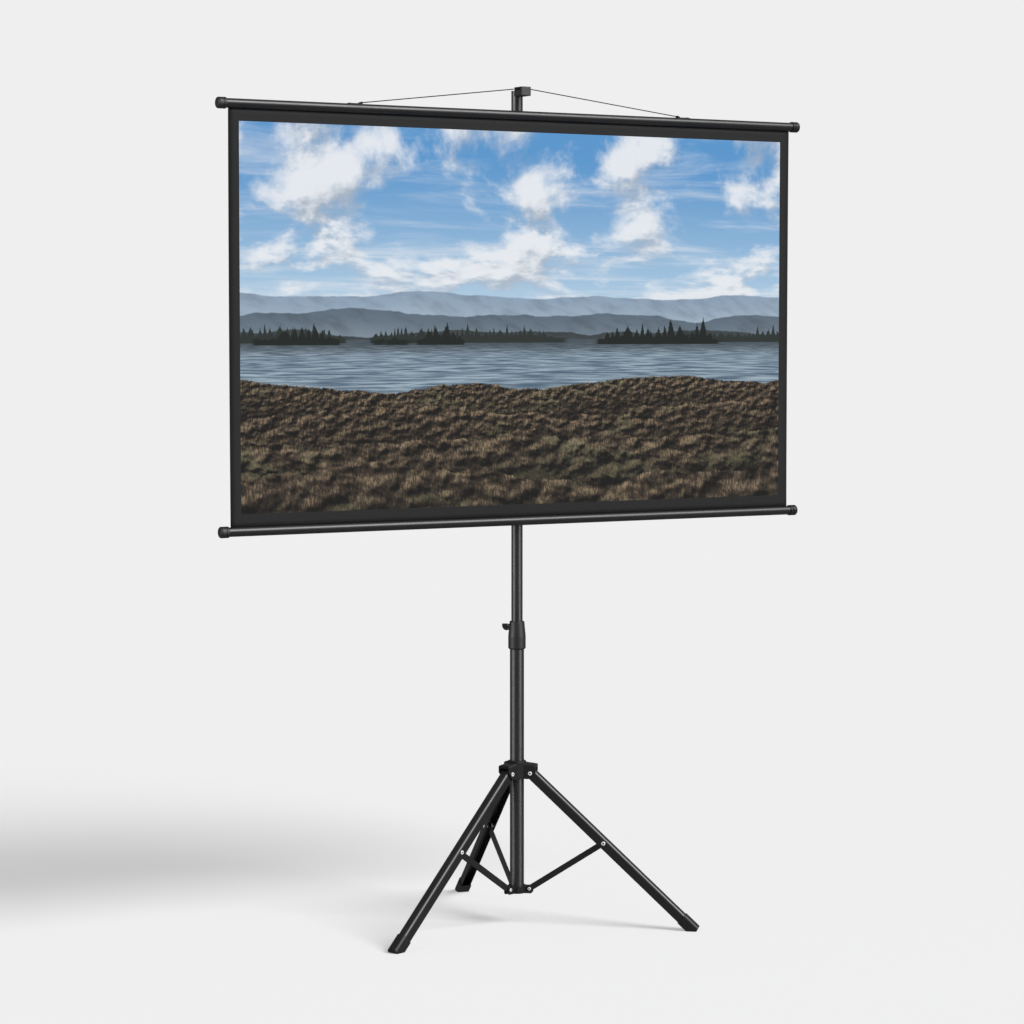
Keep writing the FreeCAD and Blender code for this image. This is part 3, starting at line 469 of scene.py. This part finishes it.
# generic valley view on the cloth: clouds, misty ridges, a lake, fir belts and brown heath in front
# across and up run from 0 to 1 over the picture, and a pair of numbers is where something starts and is full
skyLook = {"zenith": (0.085, 0.265, 0.53, 1), "low": (0.37, 0.53, 0.67, 1), "cloud": (0.72, 0.74, 0.77, 1),
           "cloudShade": (0.35, 0.40, 0.47, 1), "haze": (0.52, 0.59, 0.66, 1), "horizon": 0.44,
           "blue": (0.0, 0.95), "across": 3.3, "start": 0.4, "away": 2.4, "eye": 0.55, "size": 1.7,
           "banks": (0.44, 0.60), "bankShare": 0.94, "shadeStep": (-0.03, -0.16, 0), "shade": (0.44, 0.62),
           "stretch": (0.55, 3.6, 1), "streakSize": 1.3, "streaks": (0.46, 0.80), "streakShare": 0.70,
           "hazy": (0.34, 0.0), "hazeShare": 0.6}


def skyPaint(graph, across, up):
    height = (up - skyLook["horizon"]) / (1 - skyLook["horizon"])
    near = 1 / (height + skyLook["eye"])
    sheetSpot = graph.spot(across * skyLook["across"] + skyLook["start"], skyLook["away"] * near)
    banks = graph.noise(sheetSpot, skyLook["size"], detail=9, rough=0.58, twist=0.25)
    higher = graph.add("ShaderNodeVectorMath", {"operation": "ADD"}, {0: sheetSpot, 1: skyLook["shadeStep"]})
    over = graph.noise(higher, skyLook["size"], detail=6, rough=0.56, twist=0.25)
    streakSpot = graph.scaled(sheetSpot, *skyLook["stretch"])
    streaks = graph.noise(streakSpot, skyLook["streakSize"], detail=7, rough=0.62, twist=0.4)
    sky = graph.blend(height.ease(*skyLook["blue"]), skyLook["low"], skyLook["zenith"])
    sky = graph.blend(streaks.ease(*skyLook["streaks"]) * skyLook["streakShare"], sky, skyLook["cloud"])
    shade = (over - banks + middle).ease(*skyLook["shade"])
    tone = graph.blend(shade, skyLook["cloud"], skyLook["cloudShade"])
    sky = graph.blend(banks.ease(*skyLook["banks"]) * skyLook["bankShare"], sky, tone)
    return graph.blend(height.ease(*skyLook["hazy"]) * skyLook["hazeShare"], sky, skyLook["haze"])


# each ridge: mean height of its crest, how far it rises and falls, how broad its hills are, and its tones
ridgeLook = (
    {"crest": 0.560, "rise": 0.16, "hills": 2.1, "seed": 4.1,
     "top": (0.235, 0.315, 0.41, 1), "foot": (0.42, 0.50, 0.57, 1)},
    {"crest": 0.505, "rise": 0.17, "hills": 2.9, "seed": 8.7,
     "top": (0.100, 0.135, 0.175, 1), "foot": (0.27, 0.335, 0.39, 1)},
    {"crest": 0.462, "rise": 0.11, "hills": 4.3, "seed": 1.9,
     "top": (0.040, 0.050, 0.055, 1), "foot": (0.12, 0.145, 0.155, 1)},
)
slopeLook = {"across": 26, "slant": 20, "up": 22, "gullies": (0.42, 0.70), "fade": (0.8, 0.0), "share": 0.7,
             "darker": 0.7, "mist": (0.0, 0.9), "edge": (-0.002, 0.002)}


def ridgePaint(graph, picture, across, up, ridge):
    line = graph.noise(graph.spot(across * ridge["hills"] + ridge["seed"], ridge["seed"]), 1, detail=7)
    top = ridge["crest"] + ridge["rise"] * line.centred()
    below = (top - up) / ridge["rise"]
    tone = graph.blend(below.ease(*slopeLook["mist"]), ridge["top"], ridge["foot"])
    slanted = across * slopeLook["across"] + up * slopeLook["slant"]
    gullies = graph.noise(graph.spot(slanted, up * slopeLook["up"], ridge["seed"]), 1, detail=5, rough=0.6)
    cut = gullies.ease(*slopeLook["gullies"]) * below.ease(*slopeLook["fade"]) * slopeLook["share"]
    dark = tuple(slopeLook["darker"] * level for level in ridge["top"][:3]) + (1,)
    tone = graph.blend(cut, tone, dark)
    return graph.blend((top - up).ease(*slopeLook["edge"]), picture, tone)


lakeLook = {"shore": 0.445, "deep": (0.070, 0.115, 0.165, 1), "glint": (0.33, 0.41, 0.48, 1),
            "mirror": (0.030, 0.040, 0.045, 1), "across": 0.6, "acrossFar": 0.02, "away": 1.4,
            "awayFar": 0.03, "size": 2.1, "glints": (0.36, 0.70), "sway": 0.05, "mirrored": (0.050, 0.012),
            "mirrorShare": 0.8}


def lakePaint(graph, picture, across, up):
    depth = lakeLook["shore"] - up
    x = across * lakeLook["across"] / (depth + lakeLook["acrossFar"])
    y = lakeLook["away"] / (depth + lakeLook["awayFar"])
    ripples = graph.noise(graph.spot(x, y), lakeLook["size"], detail=5, rough=0.6, twist=0.3)
    tone = graph.blend(ripples.ease(*lakeLook["glints"]), lakeLook["deep"], lakeLook["glint"])
    mirrored = (depth + lakeLook["sway"] * ripples.centred()).ease(*lakeLook["mirrored"])
    tone = graph.blend(mirrored * lakeLook["mirrorShare"], tone, lakeLook["mirror"])
    return graph.blend(up < lakeLook["shore"], picture, tone)


# belts of firs: height of their feet, tallest tree, trees across the picture and where they gather
firLook = (
    {"foot": 0.448, "tall": 0.040, "count": 105, "seed": 3.3, "from": 0.40, "to": 0.52,
     "tone": (0.022, 0.029, 0.027, 1)},
    {"foot": 0.443, "tall": 0.064, "count": 67, "seed": 7.1, "from": 0.47, "to": 0.58,
     "tone": (0.011, 0.015, 0.013, 1)},
)
treeLook = {"drift": 0.28, "jitter": 3.6, "stands": 3.4, "gather": (0.02, 0.1), "least": 0.35, "spread": 0.65,
            "tip": 1.05, "taper": 0.85, "twigsAcross": 380, "twigsUp": 150, "fray": 0.5, "bank": 0.012,
            "edge": (-0.001, 0.0015)}


def firPaint(graph, picture, across, up, belt):
    jitter = graph.noise(graph.spot(across * treeLook["drift"] * belt["count"], belt["seed"]), 1)
    cell = across * belt["count"] + treeLook["jitter"] * jitter
    sockets = {"W": cell.whole()}
    chance = graph.add("ShaderNodeTexWhiteNoise", {"noise_dimensions": "1D"}, sockets, out="Value")
    flank = abs(cell.part().centred()) * 2
    twigSpot = graph.spot(across * treeLook["twigsAcross"], up * treeLook["twigsUp"], belt["seed"])
    twigs = graph.noise(twigSpot, 1, detail=3)
    stand = graph.noise(graph.spot(across * treeLook["stands"], belt["seed"]), 1, detail=3)
    stand = stand.ease(belt["from"], belt["to"])
    size = treeLook["least"] + treeLook["spread"] * chance
    tree = size * (treeLook["tip"] - treeLook["taper"] * flank) + treeLook["fray"] * twigs.centred()
    top = belt["foot"] + belt["tall"] * stand * tree
    inside = (top - up).ease(*treeLook["edge"]) * (up > belt["foot"] - treeLook["bank"])
    return graph.blend(inside * stand.ease(*treeLook["gather"]), picture, belt["tone"])


heathLook = {"dark": (0.007, 0.0065, 0.006, 1), "brown": (0.058, 0.042, 0.029, 1),
             "straw": (0.25, 0.185, 0.115, 1), "moss": (0.088, 0.090, 0.050, 1), "relief": 1.15,
             "toLight": (-0.10, 0.20), "aspect": 1.68, "squash": 1.35, "rowShift": 9, "bendSize": 0.9,
             "bendAcross": 1.3, "bendUp": 0.9, "coverSize": 1.6, "cover": 0.9, "crown": 0.16,
             "bladesAcross": 460, "bladesUp": 70, "bladeLight": 0.7, "fringe": 0.016, "patchesAcross": 4.6,
             "patchesUp": 6.0, "brownLit": (0.22, 0.66), "mossy": (0.50, 0.62), "mossLit": (0.3, 0.7),
             "mossShare": 0.85, "strawLit": (0.50, 0.90), "strawBlades": (0.38, 0.60),
             "hollows": (-0.18, -0.52), "hollowShare": 0.75, "fallShare": 0.72, "edge": (-0.0015, 0.0015)}
# rows of mounds, far to near: crest, its rise and fall, breadth of the swells, tussocks over the height
moundLook = (
    {"crest": 0.335, "rise": 0.16, "swells": 2.6, "seed": 5.7, "tussocks": 44, "fall": 0.10},
    {"crest": 0.262, "rise": 0.17, "swells": 3.3, "seed": 2.3, "tussocks": 29, "fall": 0.12},
    {"crest": 0.180, "rise": 0.19, "swells": 3.0, "seed": 9.1, "tussocks": 19, "fall": 0.15},
    {"crest": 0.085, "rise": 0.20, "swells": 3.6, "seed": 6.4, "tussocks": 13, "fall": 0.18},
)


def tussocks(graph, across, up, mound, right, above):
    # height of the ground cover at a point moved right and above, in tussocks
    size = mound["tussocks"]
    x = across * heathLook["aspect"] * size + right
    y = up * heathLook["squash"] * size + above + heathLook["rowShift"] * mound["seed"]
    at = graph.spot(x, y)
    bend = graph.noise(at, heathLook["bendSize"], detail=3)
    bent = graph.spot(x + heathLook["bendAcross"] * bend, y + heathLook["bendUp"] * bend)
    settings = {"feature": "SMOOTH_F1", "voronoi_dimensions": "2D"}
    sockets = {"Vector": bent, "Scale": 1.0, "Smoothness": 0.9}
    crowns = graph.add("ShaderNodeTexVoronoi", settings, sockets, out="Distance")
    return graph.noise(at, heathLook["coverSize"], detail=4, rough=0.55) * heathLook["cover"] - crowns


def moundPaint(graph, picture, across, up, mound):
    lineSpot = graph.spot(across * mound["swells"] + mound["seed"], mound["seed"])
    line = graph.noise(lineSpot, 1, detail=6, rough=0.52)
    ground = tussocks(graph, across, up, mound, 0.0, 0.0)
    sunward = tussocks(graph, across, up, mound, *heathLook["toLight"])
    bladeSpot = graph.spot(across * heathLook["bladesAcross"], up * heathLook["bladesUp"], mound["seed"])
    blades = graph.noise(bladeSpot, 1, detail=4, rough=0.7)
    light = (ground - sunward) * heathLook["relief"] + middle + heathLook["bladeLight"] * blades.centred()
    crest = mound["crest"] + mound["rise"] * line.centred() + heathLook["crown"] / mound["tussocks"] * ground
    crest = crest + heathLook["fringe"] * blades.centred()
    fall = ((crest - up) / mound["fall"]).ease(0.0, 1.0)
    patchSpot = graph.spot(across * heathLook["patchesAcross"], up * heathLook["patchesUp"], mound["seed"])
    patches = graph.noise(patchSpot, 1, detail=4, rough=0.55)
    moss = patches.ease(*heathLook["mossy"]) * light.ease(*heathLook["mossLit"]) * heathLook["mossShare"]
    straw = light.ease(*heathLook["strawLit"]) * blades.ease(*heathLook["strawBlades"])
    hollow = ground.ease(*heathLook["hollows"]) * heathLook["hollowShare"]
    tone = graph.blend(light.ease(*heathLook["brownLit"]), heathLook["dark"], heathLook["brown"])
    tone = graph.blend(moss, tone, heathLook["moss"])
    tone = graph.blend(straw, tone, heathLook["straw"])
    tone = graph.blend(hollow, tone, heathLook["dark"])
    tone = graph.blend(fall * heathLook["fallShare"], tone, heathLook["dark"])
    return graph.blend((crest - up).ease(*heathLook["edge"]), picture, tone)


def picturedCloth():
    graph = Graph("picturedCloth")
    where = graph.place()
    across, up, thread = weaveOf(graph, where)
    half = clothLook["pictureHalf"]
    low, high = clothLook["pictureLow"], clothLook["pictureHigh"]
    u = (across + half) / (2 * half)
    v = (up - low) / (high - low)
    picture = skyPaint(graph, u, v)
    for ridge in ridgeLook:
        picture = ridgePaint(graph, picture, u, v, ridge)
    picture = lakePaint(graph, picture, u, v)
    for belt in firLook:
        picture = firPaint(graph, picture, u, v, belt)
    for mound in moundLook:
        picture = moundPaint(graph, picture, u, v, mound)
    inPicture = (abs(across) < half) * (up > low) * (up < high)
    dust = graph.noise(where, clothLook["dust"], detail=5)
    black = clothLook["border"]
    border = graph.greys(dust, black, black * clothLook["dusty"], clothLook["tint"])
    base = graph.blend(inPicture, border, picture)
    rough = clothLook["rough"] + clothLook["dustRough"] * dust + clothLook["pictureRough"] * inPicture
    skin = graph.bump(thread, strength=0.12, distance=clothLook["weaveDepth"])
    return graph.finish(Base_Color=base, Roughness=rough, Specular_IOR_Level=clothLook["shine"], Normal=skin)


def blackBacking():
    graph = Graph("blackBacking")
    where = graph.place()
    thread = weaveOf(graph, where)[2]
    dust = graph.noise(where, clothLook["backDust"], detail=6)
    black = clothLook["border"]
    dark, dusty = black * clothLook["backDark"], black * clothLook["backDusty"]
    base = graph.greys(dust, dark, dusty, clothLook["backTint"])
    rough = clothLook["backRough"] + clothLook["backDustRough"] * dust
    skin = graph.bump(thread, strength=0.18, distance=clothLook["weaveDepth"])
    return graph.finish(Base_Color=base, Roughness=rough, Specular_IOR_Level=clothLook["shine"], Normal=skin)


def screenCloth():
    mesh = clothMesh()
    mesh.materials.append(picturedCloth())
    mesh.materials.append(blackBacking())
    cloth = placed("screenCloth", mesh)
    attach(cloth, "screen")
    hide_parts("screen_fabric")


screenCloth()
print("cloth hung between the bars")


# pale floor, and a dome of the same tone behind it that only the camera sees
floorLook = {"half": 64.0, "tone": 0.60, "glow": 0.388}
domeLook = {"radius": 62.0, "tone": 0.0, "glow": 0.863}
paperLook = {"grain": 3, "fleck": 0.99, "rough": 0.95}


def glowingPaper(name, look):
    graph = Graph(name)
    flecks = graph.noise(graph.place(), paperLook["grain"], detail=3)
    base = graph.greys(flecks, look["tone"] * paperLook["fleck"], look["tone"])
    material = graph.finish(Base_Color=base, Roughness=paperLook["rough"], Specular_IOR_Level=0.0,
                            Emission_Color=grey(1.0), Emission_Strength=look["glow"])
    material.cycles.emission_sampling = "NONE"
    return material


def studioFloor():
    half = floorLook["half"]
    mesh = bpy.data.meshes.new("studioFloor")
    corners = [(-half, -half, 0), (half, -half, 0), (half, half, 0), (-half, half, 0)]
    mesh.from_pydata(corners, [], [(0, 1, 2, 3)])
    mesh.materials.append(glowingPaper("floorPaper", floorLook))
    floor = placed("studioFloor", mesh)
    floor.visible_glossy = False


def studioDome():
    mesh = bpy.data.meshes.new("studioDome")
    shell = bmesh.new()
    bmesh.ops.create_icosphere(shell, subdivisions=4, radius=domeLook["radius"])
    shell.to_mesh(mesh)
    shell.free()
    mesh.materials.append(glowingPaper("domePaper", domeLook))
    dome = placed("studioDome", mesh)
    for ray in ("visible_diffuse", "visible_glossy", "visible_transmission", "visible_shadow"):
        setattr(dome, ray, False)


# soft suns: degrees to the right of the front and up from the floor, width in degrees, strength
keyLook = {"right": 27, "up": 42, "width": 30, "strength": 3.0}
# two more that only draw the highlights down the mast, on its hook, the left caps and the rivets
highlightLook = {
    "leftHighlight": {"right": -94, "up": 7, "width": 38, "strength": 2.8},
    "rightHighlight": {"right": 30, "up": 4, "width": 34, "strength": 1.5},
}
highlitNodes = ("mast_upper_tube", "mast_lower_tube", "height_collar", "hook_block", "top_cap_left",
                "bottom_cap_left", "hub_rivets", "strut_hub_rivets", "leg_rivet_left", "leg_rivet_right",
                "leg_rivet_back")
airLook = {"tone": 0.95, "strength": 0.17}


def softSun(name, look):
    right, up = math.radians(look["right"]), math.radians(look["up"])
    toSun = Vector((math.sin(right) * math.cos(up), -math.cos(right) * math.cos(up), math.sin(up)))
    data = bpy.data.lights.new(name, "SUN")
    data.energy = look["strength"]
    data.angle = math.radians(look["width"])
    lamp = placed(name, data)
    lamp.rotation_euler = toSun.to_track_quat("Z", "Y").to_euler()
    return lamp


def studioLight():
    softSun("keySun", keyLook)
    highlit = bpy.data.collections.new("highlit")
    for name in highlitNodes:
        highlit.objects.link(nodes[name])
    for name, look in highlightLook.items():
        lamp = softSun(name, look)
        lamp.visible_diffuse = False
        lamp.light_linking.receiver_collection = highlit
    world = bpy.data.worlds.new("studioAir")
    world.use_nodes = True
    air = world.node_tree.nodes["Background"]
    air.inputs["Color"].default_value = grey(airLook["tone"])
    air.inputs["Strength"].default_value = airLook["strength"]
    scene.world = world
    scene.view_settings.view_transform = "Standard"


studioFloor()
studioDome()
studioLight()
print("floor, dome and suns set")
